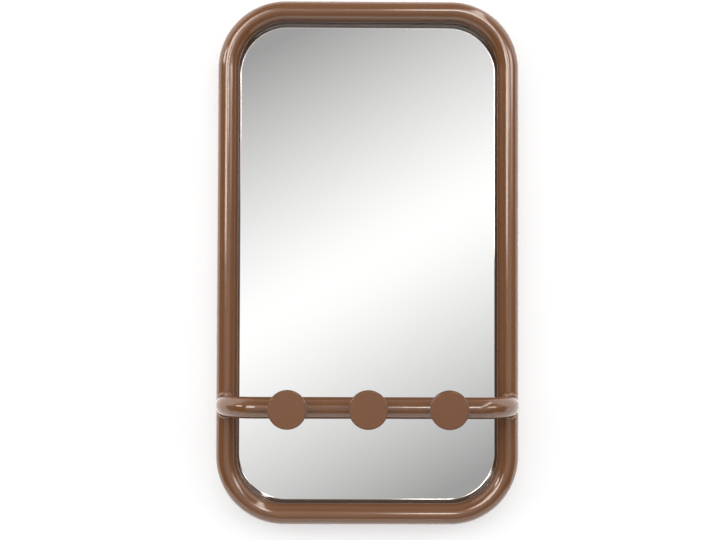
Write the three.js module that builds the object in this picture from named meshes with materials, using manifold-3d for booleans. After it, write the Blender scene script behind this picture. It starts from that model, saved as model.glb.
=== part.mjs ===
// A wall mirror in a bent-tube frame, with a rail of three coat hooks across its lower part.
//
// Millimetres. +X is to the right for someone who looks into the mirror and +Z is up. The wall
// is the plane y = 0, and the mirror hangs in front of it, at negative y. The origin is the
// point of the wall behind the middle of the frame.

import * as THREE from 'three';
import { mergeVertices } from 'three/addons/utils/BufferGeometryUtils.js';
import Module from 'manifold-3d';

const wasm = await Module();
wasm.setup();

// ------------------------------------------------------------------ driving dimensions

// The frame and the hook rail are bent from the same tube.
const TUBE_DIAMETER = 28;
const TUBE_WALL = 1.5;

// The frame: one tube bent to a rectangle with round corners and butt-welded.
const FRAME_WIDTH = 402;
const FRAME_HEIGHT = 698;
const CORNER_RADIUS = 77; // on the tube's centreline
const VENT_DIAMETER = 6; // lets air out of the tube while its paint is baked

// The hook rail: straight across, bent back at both ends onto the frame's side legs.
const RAIL_ABOVE_BOTTOM = 158.5; // from the frame's lowest point up to the rail's axis
const RAIL_LEG = 8; // straight end of the rail, in front of the frame's centreline
const RAIL_BEND_RADIUS = 42; // on the rail's centreline
const RAIL_WELD_SIZE = 4.5;
const RAIL_WELD_SPREAD = THREE.MathUtils.degToRad(72); // each way round the rail from its top

// The hooks: flat discs on round stems.
const HOOK_SPACING = 103;
const DISC_DIAMETER = 50;
const DISC_THICKNESS = 7;
const DISC_FRONT_ROUNDING = 1.6;
const DISC_BACK_ROUNDING = 0.8;
const STEM_DIAMETER = 16;
const STEM_LENGTH = 11; // free length, from the front of the rail to the back of the disc
const SPIGOT_DIAMETER = 8; // the stem's nose, which seats in the back of the disc
const SPIGOT_LENGTH = 4;
const STEM_WELD_SIZE = 2.4;

// The glass, stuck to the board with strips of tape and held against the back of the tube.
const GLASS_THICKNESS = 4;
const GLASS_ARRIS = 0.6; // ground edge, front and back
const GLASS_SIDE_CLEARANCE = 1; // between the glass and the bosses round it
const TAPE_THICKNESS = 1;
const TAPE_WIDTH = 25;
const TAPE_LENGTH = 560;
const TAPE_SPACING = 120;

// The backing board and the bosses that it is screwed to.
const BOARD_THICKNESS = 3;
const BOARD_PAST_CENTRELINE = 6; // how far it reaches outside the tube's centreline
const BOSS_DIAMETER = 8;
const SIDE_BOSS_SPACING = 190; // three bosses on each side leg
const BOTTOM_BOSS_SPACING = 160;
const SCREW_DIAMETER = 4;
const SCREW_GRIP = 4.4; // thread inside a boss
const SCREW_HEAD_DIAMETER = 7.6;
const SCREW_HEAD_HEIGHT = 1.6;

// The keyhole hanger plates and the pads, which touch the wall.
const HANGER_SPACING = 160;
const HANGER_WIDTH = 48;
const HANGER_HEIGHT = 22;
const HANGER_THICKNESS = 2;
const HANGER_CORNER = 4;
const HANGER_SCREW_SPACING = 34;
const HANGER_SCREW_FROM_TOP = 5;
const KEYHOLE_ENTRY_DIAMETER = 10;
const KEYHOLE_SLOT_WIDTH = 5;
const KEYHOLE_END_BELOW_SCREWS = 1.5; // the slot's end, under the line of the hanger's screws
const KEYHOLE_TRAVEL = 8; // from the middle of the entry up to the middle of the slot's end
const KEYHOLE_POCKET_MARGIN = 2; // room round the keyhole in the board behind it
const PAD_DIAMETER = 18;
const PAD_FROM_SIDE = 51; // from the frame's side in to the middle of the pad
const PAD_ABOVE_BOTTOM = 49;

// Room left between pieces.
const SEAT_GAP = 0.3; // where one piece is cut to seat on another
const HOLE_CLEARANCE = 0.3; // round a screw or a spigot

// Facets.
const TUBE_SIDES = 24;
const BORE_SIDES = 16;
const BEND_STEPS = 8;
const DISC_SIDES = 40;
const STEM_SIDES = 24;
const ROUNDING_STEPS = 2;
const SMALL_SIDES = 12; // screws, bosses and their holes
const WELD_SIDES = 10;
const WELD_STEPS = 12;

// ------------------------------------------------------------------ places that follow

const tubeRadius = TUBE_DIAMETER / 2;
const boreRadius = tubeRadius - TUBE_WALL;

// Half the width and height of the frame's centreline.
const sideX = (FRAME_WIDTH - TUBE_DIAMETER) / 2;
const topZ = (FRAME_HEIGHT - TUBE_DIAMETER) / 2;

// From the wall forward. The pads are as thick as the hanger plates.
const boardBackY = -HANGER_THICKNESS;
const boardFrontY = boardBackY - BOARD_THICKNESS;
const glassBackY = boardFrontY - TAPE_THICKNESS;
const glassFrontY = glassBackY - GLASS_THICKNESS;
const frameY = glassFrontY - SEAT_GAP - tubeRadius;
const railY = frameY - RAIL_LEG - RAIL_BEND_RADIUS;
const railZ = RAIL_ABOVE_BOTTOM - FRAME_HEIGHT / 2;

const glassInset = BOSS_DIAMETER / 2 + GLASS_SIDE_CLEARANCE;
const sides = [['left', -1], ['right', 1]];
const rows = [['lower', -1], ['middle', 0], ['upper', 1]];
const thirds = [['left', -1], ['centre', 0], ['right', 1]];

// Where screws enter the back: four through the hanger plates, three in each side leg and two
// in the bottom leg.
const hangers = sides.map(([name, side]) => ({ name, x: (side * HANGER_SPACING) / 2 }));
const hangerFixings = hangers.flatMap((hanger) => sides.map(([end, side]) => ({
  name: `hanger_${hanger.name}_${end}`,
  x: hanger.x + (side * HANGER_SCREW_SPACING) / 2,
  z: topZ,
})));
const boardFixings = sides.flatMap(([name, side]) => [
  ...rows.map(([row, step]) => ({
    name: `${name}_${row}`,
    x: side * sideX,
    z: step * SIDE_BOSS_SPACING,
  })),
  { name: `bottom_${name}`, x: (side * BOTTOM_BOSS_SPACING) / 2, z: -topZ },
]);

// The hanger's screws are on the frame's top leg, and its keyhole ends just under their line.
const hangerMiddleZ = topZ + HANGER_SCREW_FROM_TOP - HANGER_HEIGHT / 2;
const keyholeEndZ = topZ - KEYHOLE_END_BELOW_SCREWS;
const keyholeEntryZ = keyholeEndZ - KEYHOLE_TRAVEL;

// ------------------------------------------------------------------ finishes

const finishes = {
  brownPaint: { color: 0x7d583e, roughness: 0.28, metalness: 0 },
  brownPaintMatt: { color: 0x7b5841, roughness: 0.5, metalness: 0 },
  silveredGlass: { color: 0xe9edec, roughness: 0.02, metalness: 1 },
  foamTape: { color: 0xe6e4de, roughness: 0.9, metalness: 0 },
  blackBoard: { color: 0x24211f, roughness: 0.85, metalness: 0 },
  zincSteel: { color: 0xb9bcbf, roughness: 0.35, metalness: 1 },
  rubber: { color: 0x1b1b1b, roughness: 0.8, metalness: 0 },
};

// ------------------------------------------------------------------ solids and cuts

// A closed three.js geometry as a solid that can be joined and cut.
function toSolid(geometry) {
  const bare = geometry.clone();
  bare.deleteAttribute('normal');
  bare.deleteAttribute('uv');
  const welded = mergeVertices(bare);
  return new wasm.Manifold(new wasm.Mesh({
    numProp: 3,
    vertProperties: new Float32Array(welded.attributes.position.array),
    triVerts: new Uint32Array(welded.index.array),
  }));
}

// A solid back as a three.js geometry.
function toGeometry(solid) {
  const mesh = solid.getMesh();
  const geometry = new THREE.BufferGeometry();
  geometry.setAttribute('position', new THREE.BufferAttribute(mesh.vertProperties, 3));
  geometry.setIndex(new THREE.BufferAttribute(mesh.triVerts, 1));
  geometry.computeVertexNormals();
  return geometry;
}

// ------------------------------------------------------------------ bent tubes

// The centreline of a bent tube, known at its stations: the ends of every bend and equal
// steps round it. Straight legs need no station between bends.
class BentPath extends THREE.Curve {
  constructor(stations, closed) {
    super();
    this.stations = stations;
    this.steps = closed ? stations.length : stations.length - 1;
  }

  stationAt(u) {
    return this.stations[Math.round(u * this.steps) % this.stations.length];
  }

  getPointAt(u, target = new THREE.Vector3()) {
    return target.copy(this.stationAt(u).point);
  }

  getTangentAt(u, target = new THREE.Vector3()) {
    return target.copy(this.stationAt(u).tangent);
  }
}

// Stations round one bend, from the leg that comes in to the leg that goes out.
function bendStations(corner, incoming, outgoing, radius) {
  const turn = incoming.angleTo(outgoing);
  const inward = outgoing.clone().addScaledVector(incoming, -incoming.dot(outgoing)).normalize();
  const start = corner.clone().addScaledVector(incoming, -radius * Math.tan(turn / 2));
  const stations = [];
  for (let step = 0; step <= BEND_STEPS; step += 1) {
    const angle = (turn * step) / BEND_STEPS;
    const point = start.clone()
      .addScaledVector(incoming, radius * Math.sin(angle))
      .addScaledVector(inward, radius * (1 - Math.cos(angle)));
    const tangent = incoming.clone().multiplyScalar(Math.cos(angle))
      .addScaledVector(inward, Math.sin(angle));
    stations.push({ point, tangent });
  }
  return stations;
}

const RIGHT = new THREE.Vector3(1, 0, 0);
const LEFT = new THREE.Vector3(-1, 0, 0);
const UP = new THREE.Vector3(0, 0, 1);
const DOWN = new THREE.Vector3(0, 0, -1);
const FORWARD = new THREE.Vector3(0, -1, 0);
const BACK = new THREE.Vector3(0, 1, 0);

// The frame's centreline: anticlockwise from the bottom right corner.
const framePath = new BentPath([
  ...bendStations(new THREE.Vector3(sideX, frameY, -topZ), RIGHT, UP, CORNER_RADIUS),
  ...bendStations(new THREE.Vector3(sideX, frameY, topZ), UP, LEFT, CORNER_RADIUS),
  ...bendStations(new THREE.Vector3(-sideX, frameY, topZ), LEFT, DOWN, CORNER_RADIUS),
  ...bendStations(new THREE.Vector3(-sideX, frameY, -topZ), DOWN, RIGHT, CORNER_RADIUS),
], true);

// The rail's centreline: out of the left leg, across, and back into the right leg.
const railPath = new BentPath([
  { point: new THREE.Vector3(-sideX, frameY, railZ), tangent: FORWARD },
  ...bendStations(new THREE.Vector3(-sideX, railY, railZ), FORWARD, RIGHT, RAIL_BEND_RADIUS),
  ...bendStations(new THREE.Vector3(sideX, railY, railZ), RIGHT, BACK, RAIL_BEND_RADIUS),
  { point: new THREE.Vector3(sideX, frameY, railZ), tangent: BACK },
], false);

// A straight stretch of the rail, in a hook's own coordinates.
const railStretchPath = new BentPath([
  { point: new THREE.Vector3(-DISC_DIAMETER, 0, 0), tangent: RIGHT },
  { point: new THREE.Vector3(DISC_DIAMETER, 0, 0), tangent: RIGHT },
], false);

// A round bar that follows a path and closes on itself.
function closedBar(path, radius, sides) {
  return toSolid(new THREE.TubeGeometry(path, path.steps, radius, sides, true));
}

// A round bar that follows a path from end to end.
function openBar(path, steps, radius, sides) {
  const section = new THREE.Shape().absarc(0, 0, radius, 0, 2 * Math.PI);
  return toSolid(new THREE.ExtrudeGeometry(section, {
    steps,
    curveSegments: sides / 2,
    extrudePath: path,
  }));
}

const frameBar = (radius, sides) => closedBar(framePath, radius, sides);
const railBar = (radius, sides) => openBar(railPath, railPath.steps, radius, sides);

// What has to stay clear of the frame and of the rail is cut with these.
const frameClearance = frameBar(tubeRadius + SEAT_GAP, TUBE_SIDES);
const railClearance = railBar(tubeRadius + SEAT_GAP, TUBE_SIDES);

function frameTube() {
  const vent = new THREE.CylinderGeometry(VENT_DIAMETER / 2, VENT_DIAMETER / 2, tubeRadius, SMALL_SIDES);
  vent.translate(0, frameY + tubeRadius, -topZ);
  return frameBar(tubeRadius, TUBE_SIDES)
    .subtract(frameBar(boreRadius, BORE_SIDES))
    .subtract(toSolid(vent));
}

// Both ends are coped to the round of the side legs.
function hookRail() {
  return railBar(tubeRadius, TUBE_SIDES)
    .subtract(railBar(boreRadius, BORE_SIDES))
    .subtract(frameClearance);
}

// ------------------------------------------------------------------ welds

// The centre of a fillet between the rail's end and a side leg, tubes of equal radius. Their
// surfaces meet where y = -|z|, measured from the crossing of the two axes. The bead runs
// round the rail from its top (side = 1) or its bottom (side = -1), and sinks into the metal
// towards its ends, where the two surfaces become one.
class RailWeldCurve extends THREE.Curve {
  constructor(legX, side) {
    super();
    this.crossing = new THREE.Vector3(legX, frameY, railZ);
    this.side = side;
  }

  getPoint(t, target = new THREE.Vector3()) {
    const angle = (2 * t - 1) * RAIL_WELD_SPREAD;
    const sine = Math.sin(angle);
    const cosine = Math.cos(angle);
    const outward = new THREE.Vector3(2 * sine, -cosine, this.side * cosine).normalize();
    const sunk = RAIL_WELD_SIZE * Math.sin(((2 * t - 1) * Math.PI) / 2) ** 2;
    return target
      .set(tubeRadius * sine, -tubeRadius * cosine, this.side * tubeRadius * cosine)
      .add(this.crossing)
      .addScaledVector(outward, -sunk);
  }
}

function railWeld(legX, side) {
  return openBar(new RailWeldCurve(legX, side), WELD_STEPS, RAIL_WELD_SIZE, WELD_SIDES)
    .subtract(frameClearance)
    .subtract(railClearance);
}

// The closed line where a stem meets the rail, in a hook's own coordinates.
class StemRootCurve extends THREE.Curve {
  getPoint(t, target = new THREE.Vector3()) {
    const angle = 2 * Math.PI * t;
    const x = (STEM_DIAMETER / 2) * Math.cos(angle);
    const z = (STEM_DIAMETER / 2) * Math.sin(angle);
    return target.set(x, -Math.sqrt(tubeRadius ** 2 - z ** 2), z);
  }
}

// ------------------------------------------------------------------ turned pieces

// A quarter circle on a turned profile, anticlockwise about its centre from an angle.
function rounding(radius, centreX, centreY, fromAngle) {
  const points = [];
  for (let step = 0; step <= ROUNDING_STEPS; step += 1) {
    const angle = fromAngle + ((Math.PI / 2) * step) / ROUNDING_STEPS;
    points.push([centreX + radius * Math.cos(angle), centreY + radius * Math.sin(angle)]);
  }
  return points;
}

// Turned about the y axis; the profile runs from its front end to its back end.
function turned(profile, sides) {
  return new THREE.LatheGeometry(profile.map(([radius, y]) => new THREE.Vector2(radius, y)), sides);
}

const discBackY = -(tubeRadius + STEM_LENGTH);
const discFrontY = discBackY - DISC_THICKNESS;
const spigotNoseY = discBackY - SPIGOT_LENGTH;

// A disc has a small round on its front edge and a smaller one on its back edge, and a blind
// socket for the stem's spigot.
function hookDisc() {
  const radius = DISC_DIAMETER / 2;
  const front = DISC_FRONT_ROUNDING;
  const back = DISC_BACK_ROUNDING;
  const socketRadius = SPIGOT_DIAMETER / 2 + HOLE_CLEARANCE;
  const socketFloorY = spigotNoseY - HOLE_CLEARANCE;
  return turned([
    [0, discFrontY],
    ...rounding(front, radius - front, discFrontY + front, -Math.PI / 2),
    ...rounding(back, radius - back, discBackY - back, 0),
    [socketRadius, discBackY],
    [socketRadius, socketFloorY],
    [0, socketFloorY],
  ], DISC_SIDES);
}

function hookStem() {
  const bar = turned([
    [0, spigotNoseY],
    [SPIGOT_DIAMETER / 2, spigotNoseY],
    [SPIGOT_DIAMETER / 2, discBackY],
    [STEM_DIAMETER / 2, discBackY],
    [STEM_DIAMETER / 2, 0],
    [0, 0],
  ], STEM_SIDES);
  return toSolid(bar).subtract(openBar(railStretchPath, 1, tubeRadius + SEAT_GAP, TUBE_SIDES));
}

function stemWeld() {
  const bead = new THREE.TubeGeometry(new StemRootCurve(), STEM_SIDES, STEM_WELD_SIZE, WELD_SIDES, true);
  const stemRadius = STEM_DIAMETER / 2 + SEAT_GAP;
  const stem = new THREE.CylinderGeometry(stemRadius, stemRadius, 4 * tubeRadius, STEM_SIDES);
  return toSolid(bead)
    .subtract(toSolid(stem))
    .subtract(openBar(railStretchPath, 1, tubeRadius + SEAT_GAP, TUBE_SIDES));
}

// ------------------------------------------------------------------ flat pieces

// Corners are traced anticlockwise, so an outline or a hole is one call per arc.
function roundedRectangle(width, height, radius, middleY = 0) {
  const x = width / 2 - radius;
  const y = height / 2 - radius;
  return new THREE.Shape()
    .absarc(x, middleY + y, radius, 0, Math.PI / 2)
    .absarc(-x, middleY + y, radius, Math.PI / 2, Math.PI)
    .absarc(-x, middleY - y, radius, Math.PI, 1.5 * Math.PI)
    .absarc(x, middleY - y, radius, 1.5 * Math.PI, 2 * Math.PI);
}

// An outline drawn as it is seen from the front, made a plate that stands on its back face.
function standingPlate(geometry, backY) {
  return geometry.rotateX(Math.PI / 2).translate(0, backY, 0);
}

function mirrorGlass() {
  const outline = roundedRectangle(
    2 * (sideX - glassInset), 2 * (topZ - glassInset), CORNER_RADIUS - glassInset,
  );
  const sheet = new THREE.ExtrudeGeometry(outline, {
    depth: GLASS_THICKNESS - 2 * GLASS_ARRIS,
    bevelThickness: GLASS_ARRIS,
    bevelSize: GLASS_ARRIS,
    bevelOffset: -GLASS_ARRIS,
    bevelSegments: 1,
    curveSegments: BEND_STEPS,
  });
  return standingPlate(sheet, glassBackY - GLASS_ARRIS);
}

function tapeStrip() {
  return new THREE.BoxGeometry(TAPE_WIDTH, TAPE_THICKNESS, TAPE_LENGTH);
}

// The slot that a wall screw's head drops into, traced about the hanger's middle line.
function keyholePath(x, margin) {
  const entryRadius = KEYHOLE_ENTRY_DIAMETER / 2 + margin;
  const slotRadius = KEYHOLE_SLOT_WIDTH / 2 + margin;
  const neck = Math.asin(slotRadius / entryRadius);
  return new THREE.Path()
    .absarc(x, keyholeEntryZ, entryRadius, Math.PI / 2 + neck, 2.5 * Math.PI - neck)
    .absarc(x, keyholeEndZ, slotRadius, 0, Math.PI);
}

function backBoard() {
  const outline = roundedRectangle(
    2 * (sideX + BOARD_PAST_CENTRELINE),
    2 * (topZ + BOARD_PAST_CENTRELINE),
    CORNER_RADIUS + BOARD_PAST_CENTRELINE,
  );
  const holeRadius = SCREW_DIAMETER / 2 + HOLE_CLEARANCE;
  for (const { x, z } of [...hangerFixings, ...boardFixings]) {
    outline.holes.push(new THREE.Path().absarc(x, z, holeRadius, 0, 2 * Math.PI));
  }
  for (const hanger of hangers) {
    outline.holes.push(keyholePath(hanger.x, KEYHOLE_POCKET_MARGIN));
  }
  const sheet = new THREE.ExtrudeGeometry(outline, {
    depth: BOARD_THICKNESS,
    bevelEnabled: false,
    curveSegments: SMALL_SIDES / 2,
  });
  return standingPlate(sheet, boardBackY);
}

// ------------------------------------------------------------------ fixings

// A boss is welded to the back of the tube, so its front end follows it.
function boardBoss({ x, z }) {
  const bore = SCREW_DIAMETER / 2 + HOLE_CLEARANCE;
  const boss = turned([
    [bore, frameY],
    [BOSS_DIAMETER / 2, frameY],
    [BOSS_DIAMETER / 2, boardFrontY],
    [bore, boardFrontY],
    [bore, frameY],
  ], SMALL_SIDES);
  return toSolid(boss.translate(x, 0, z)).subtract(frameClearance);
}

// A raised-head screw, whose head rests on the board.
function boardScrew() {
  const shank = SCREW_DIAMETER / 2;
  const head = SCREW_HEAD_DIAMETER / 2;
  return turned([
    [0, boardFrontY - SCREW_GRIP],
    [shank, boardFrontY - SCREW_GRIP],
    [shank, boardBackY],
    [head, boardBackY],
    [head, boardBackY + SCREW_HEAD_HEIGHT / 2],
    [head / 2, boardBackY + SCREW_HEAD_HEIGHT],
    [0, boardBackY + SCREW_HEAD_HEIGHT],
  ], SMALL_SIDES);
}

// A countersunk screw, flush with the back of the hanger plate. With a positive margin this
// is the shape of its hole.
function hangerScrew(margin) {
  const shank = SCREW_DIAMETER / 2 + margin;
  const head = SCREW_HEAD_DIAMETER / 2 + margin;
  return turned([
    [0, boardFrontY - SCREW_GRIP],
    [shank, boardFrontY - SCREW_GRIP],
    [shank, -(SCREW_HEAD_DIAMETER - SCREW_DIAMETER) / 2],
    [head, 0],
    [head, margin],
    [0, margin],
  ], SMALL_SIDES);
}

// A hanger plate about its own middle line, with a countersunk hole at each end.
function hangerPlate() {
  const outline = roundedRectangle(HANGER_WIDTH, HANGER_HEIGHT, HANGER_CORNER, hangerMiddleZ);
  outline.holes.push(keyholePath(0, 0));
  const blank = new THREE.ExtrudeGeometry(outline, {
    depth: HANGER_THICKNESS,
    bevelEnabled: false,
    curveSegments: SMALL_SIDES / 2,
  });
  return sides.reduce((plate, [, side]) => {
    const hole = hangerScrew(HOLE_CLEARANCE).translate((side * HANGER_SCREW_SPACING) / 2, 0, topZ);
    return plate.subtract(toSolid(hole));
  }, toSolid(standingPlate(blank, 0)));
}

function wallPad() {
  return new THREE.CylinderGeometry(PAD_DIAMETER / 2, PAD_DIAMETER / 2, HANGER_THICKNESS, STEM_SIDES);
}

// ------------------------------------------------------------------ assembly

const mirror = new THREE.Group();

function place(parent, name, finish, geometry, x = 0, y = 0, z = 0) {
  const mesh = new THREE.Mesh(geometry, new THREE.MeshStandardMaterial(finish));
  mesh.name = name;
  mesh.position.set(x, y, z);
  parent.add(mesh);
}

place(mirror, 'frame_tube', finishes.brownPaint, toGeometry(frameTube()));
place(mirror, 'hook_rail', finishes.brownPaint, toGeometry(hookRail()));
for (const [name, side] of sides) {
  place(mirror, `rail_weld_${name}_upper`, finishes.brownPaint, toGeometry(railWeld(side * sideX, 1)));
  place(mirror, `rail_weld_${name}_lower`, finishes.brownPaint, toGeometry(railWeld(side * sideX, -1)));
}

for (const [name, step] of thirds) {
  const hook = new THREE.Group();
  hook.position.set(step * HOOK_SPACING, railY, railZ);
  mirror.add(hook);
  place(hook, `hook_stem_${name}`, finishes.brownPaint, toGeometry(hookStem()));
  place(hook, `stem_weld_${name}`, finishes.brownPaint, toGeometry(stemWeld()));
  place(hook, `hook_disc_${name}`, finishes.brownPaintMatt, hookDisc());
}

place(mirror, 'mirror_glass', finishes.silveredGlass, mirrorGlass());
const tapeY = (boardFrontY + glassBackY) / 2;
for (const [name, step] of thirds) {
  place(mirror, `tape_strip_${name}`, finishes.foamTape, tapeStrip(), step * TAPE_SPACING, tapeY, 0);
}
place(mirror, 'back_board', finishes.blackBoard, backBoard());

for (const fixing of boardFixings) {
  place(mirror, `boss_${fixing.name}`, finishes.brownPaint, toGeometry(boardBoss(fixing)));
  place(mirror, `screw_${fixing.name}`, finishes.zincSteel, boardScrew(), fixing.x, 0, fixing.z);
}
for (const fixing of hangerFixings) {
  place(mirror, `boss_${fixing.name}`, finishes.brownPaint, toGeometry(boardBoss(fixing)));
  place(mirror, `screw_${fixing.name}`, finishes.zincSteel, hangerScrew(0), fixing.x, 0, fixing.z);
}
for (const { name, x } of hangers) {
  place(mirror, `hanger_plate_${name}`, finishes.zincSteel, toGeometry(hangerPlate()), x, 0, 0);
}

const padX = FRAME_WIDTH / 2 - PAD_FROM_SIDE;
const padY = boardBackY / 2;
const padZ = PAD_ABOVE_BOTTOM - FRAME_HEIGHT / 2;
for (const [name, side] of sides) {
  place(mirror, `wall_pad_${name}`, finishes.rubber, wallPad(), side * padX, padY, padZ);
}

export default mirror;
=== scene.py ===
# %% [markdown]
# # A wall mirror with three coat hooks
#
# The mirror is a sheet of silvered glass behind a frame of bent steel tube. A second length of
# the same tube is bent forward across the lower part, and carries three flat discs on short
# stems. All of that steel is painted a warm brown, a little darker on the discs.
#
# The solids of every piece are already fixed. This script loads them as a frame, builds a
# finer surface over each one, gives each its finish, and lights the whole as in a studio.

# %% Load the fixed frame
import math

import bmesh
import bpy
import numpy as np
from mathutils import Matrix, Vector


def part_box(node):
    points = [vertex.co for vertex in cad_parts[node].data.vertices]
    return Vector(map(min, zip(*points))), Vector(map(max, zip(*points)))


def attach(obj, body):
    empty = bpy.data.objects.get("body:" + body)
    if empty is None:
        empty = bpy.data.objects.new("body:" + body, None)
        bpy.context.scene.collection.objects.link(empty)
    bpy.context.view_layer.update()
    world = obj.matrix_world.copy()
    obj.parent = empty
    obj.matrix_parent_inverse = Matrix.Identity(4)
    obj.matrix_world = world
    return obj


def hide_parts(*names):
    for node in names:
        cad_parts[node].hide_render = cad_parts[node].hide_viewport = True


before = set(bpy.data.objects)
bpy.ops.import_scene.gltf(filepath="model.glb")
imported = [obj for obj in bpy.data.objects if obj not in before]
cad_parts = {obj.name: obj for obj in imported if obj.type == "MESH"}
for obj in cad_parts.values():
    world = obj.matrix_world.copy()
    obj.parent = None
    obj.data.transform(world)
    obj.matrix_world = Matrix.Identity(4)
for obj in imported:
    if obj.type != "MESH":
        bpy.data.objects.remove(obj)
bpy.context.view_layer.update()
MM = 0.001
SIDES = (("left", -1), ("right", 1))
THIRDS = ("left", "centre", "right")

# %% [markdown]
# ## The camera
#
# A product photographer stands a good way off and uses a long lens, so that the frame's sides
# stay parallel. The camera's place, its three small turns and its focal length in pixels come
# from fitting the frame's edges, the rail's ends and the discs in the photograph.

# %% Place the camera
PHOTO_WIDTH = 716
FOCAL_PIXELS = 1201.3
SENSOR_WIDTH = 36.0
CAMERA_PLACE = Vector((-0.0272, -1.6270, -0.0512))
YAW = 0.0088
PITCH = 0.0249
ROLL = 0.0033


def in_scene(name, data):
    """A new object that has the data, linked to the scene."""
    made = bpy.data.objects.new(name, data)
    bpy.context.scene.collection.objects.link(made)
    return made


def camera_matrix(place, yaw, pitch, roll):
    """A camera at place. It looks along +Y, turned right by yaw and up by pitch, and its right
    and up directions are then turned about the view by roll, all in radians."""
    level = math.cos(pitch)
    forward = Vector((math.sin(yaw) * level, math.cos(yaw) * level, math.sin(pitch)))
    level_right = Vector((math.cos(yaw), -math.sin(yaw), 0.0))
    level_up = level_right.cross(forward)
    right = math.cos(roll) * level_right + math.sin(roll) * level_up
    up = math.cos(roll) * level_up - math.sin(roll) * level_right
    turned = Matrix((right, up, -forward)).transposed().to_4x4()
    return Matrix.Translation(place) @ turned


camera = in_scene("camera", bpy.data.cameras.new("camera"))
camera.data.sensor_width = SENSOR_WIDTH
camera.data.lens = FOCAL_PIXELS * SENSOR_WIDTH / PHOTO_WIDTH
camera.matrix_world = camera_matrix(CAMERA_PLACE, YAW, PITCH, ROLL)
bpy.context.scene.camera = camera
bpy.context.scene.view_settings.view_transform = "Standard"
print("lens in mm:", round(camera.data.lens, 2))

# %% [markdown]
# ## Wiring shaders as Python expressions
#
# A finish is a small calculation on the place of a point. `Socket` stands for one output of a
# node, and Python's operators on it add the Math nodes, so that `1 - mask` can be written as
# it is. `Wires.node` makes every other node: its settings come first, then its sockets.


# %% Sockets and nodes
class Socket:
    """One output of a shader node. Python's operators on it add Math nodes."""

    def __init__(self, wires, output):
        self.wires = wires
        self.output = output

    def math(self, operation, *values):
        return self.wires.node("ShaderNodeMath", {"operation": operation}, dict(enumerate(values)))

    def __add__(self, other):
        return self.math("ADD", self, other)

    def __radd__(self, other):
        return self.math("ADD", other, self)

    def __sub__(self, other):
        return self.math("SUBTRACT", self, other)

    def __rsub__(self, other):
        return self.math("SUBTRACT", other, self)

    def __mul__(self, other):
        return self.math("MULTIPLY", self, other)

    def __rmul__(self, other):
        return self.math("MULTIPLY", other, self)

    def __truediv__(self, other):
        return self.math("DIVIDE", self, other)

    def __pow__(self, other):
        return self.math("POWER", self, other)

    def __abs__(self):
        return self.math("ABSOLUTE", self)

    def __lt__(self, other):
        return self.math("LESS_THAN", self, other)

    def __gt__(self, other):
        return self.math("GREATER_THAN", self, other)

    def at_least(self, other):
        return self.math("MAXIMUM", self, other)


class Wires:
    """A node tree while it is being wired."""

    def __init__(self, tree):
        self.tree = tree
        tree.nodes.clear()

    def node(self, kind, settings=None, inputs=None, output=0):
        """Adds a node, sets its settings, then each input's value or link, and returns one
        of its outputs."""
        made = self.tree.nodes.new(kind)
        for name, value in (settings or {}).items():
            setattr(made, name, value)
        for name, value in (inputs or {}).items():
            if isinstance(value, Socket):
                self.tree.links.new(value.output, made.inputs[name])
            else:
                made.inputs[name].default_value = value
        return Socket(self, made.outputs[output]) if made.outputs else None

    def place(self):
        """The point's place in the object, in metres."""
        return self.node("ShaderNodeTexCoord", output="Object")

    def noise(self, grain, detail=2.0, stretch=None):
        """Soft noise from 0 to 1 whose blotches are about one grain across, in metres.
        Stretch lengthens them along X, Y or Z."""
        place = self.place()
        if stretch:
            scale = tuple(1.0 / s for s in stretch)
            place = self.node("ShaderNodeMapping", inputs={"Vector": place, "Scale": scale})
        inputs = {"Vector": place, "Scale": 1.0 / grain, "Detail": detail}
        return self.node("ShaderNodeTexNoise", inputs=inputs)

    def smooth_step(self, value, low, high):
        """0 where value is below low, 1 where it is above high, with a soft ramp between."""
        inputs = {"Value": value, "From Min": low, "From Max": high}
        return self.node("ShaderNodeMapRange", {"interpolation_type": "SMOOTHSTEP"}, inputs)

    def mix_colour(self, factor, first, second):
        inputs = {0: factor, 6: first, 7: second}
        return self.node("ShaderNodeMix", {"data_type": "RGBA"}, inputs, 2)

    def light_path(self, name):
        return self.node("ShaderNodeLightPath", output=name)

    def dot(self, vector, axis):
        settings = {"operation": "DOT_PRODUCT"}
        return self.node("ShaderNodeVectorMath", settings, {0: vector, 1: tuple(axis)}, "Value")

    def along(self, vector, axis):
        """The vector's part along "X", "Y" or "Z"."""
        return self.node("ShaderNodeSeparateXYZ", inputs={"Vector": vector}, output=axis)

    def facing(self, axis):
        """1 where the surface looks along the axis, either way, and 0 where it looks across."""
        return abs(self.along(self.node("ShaderNodeNewGeometry", output="Normal"), axis))

    def glow(self, strength):
        inputs = {"Color": (1, 1, 1, 1), "Strength": strength}
        return self.node("ShaderNodeEmission", inputs=inputs)

    def bump(self, height, distance):
        """A relief of the given depth, in metres, where height runs from 0 to 1."""
        return self.node("ShaderNodeBump", inputs={"Height": height, "Distance": distance})

    def surface(self, shader):
        self.node("ShaderNodeOutputMaterial", inputs={"Surface": shader})

    def principled(self, inputs):
        self.surface(self.node("ShaderNodeBsdfPrincipled", inputs=inputs))


def new_material(name):
    material = bpy.data.materials.new(name)
    material.use_nodes = True
    return material, Wires(material.node_tree)


def linear(red, green, blue):
    """An sRGB colour, given in steps of 0 to 255, as the linear colour that a shader takes."""
    srgb = np.array([red, green, blue]) / 255
    value = np.where(srgb <= 0.04045, srgb / 12.92, ((srgb + 0.055) / 1.055) ** 2.4)
    return (*value.tolist(), 1.0)


def scaled(colour, factor):
    return (*(factor * c for c in colour[:3]), 1.0)


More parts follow.
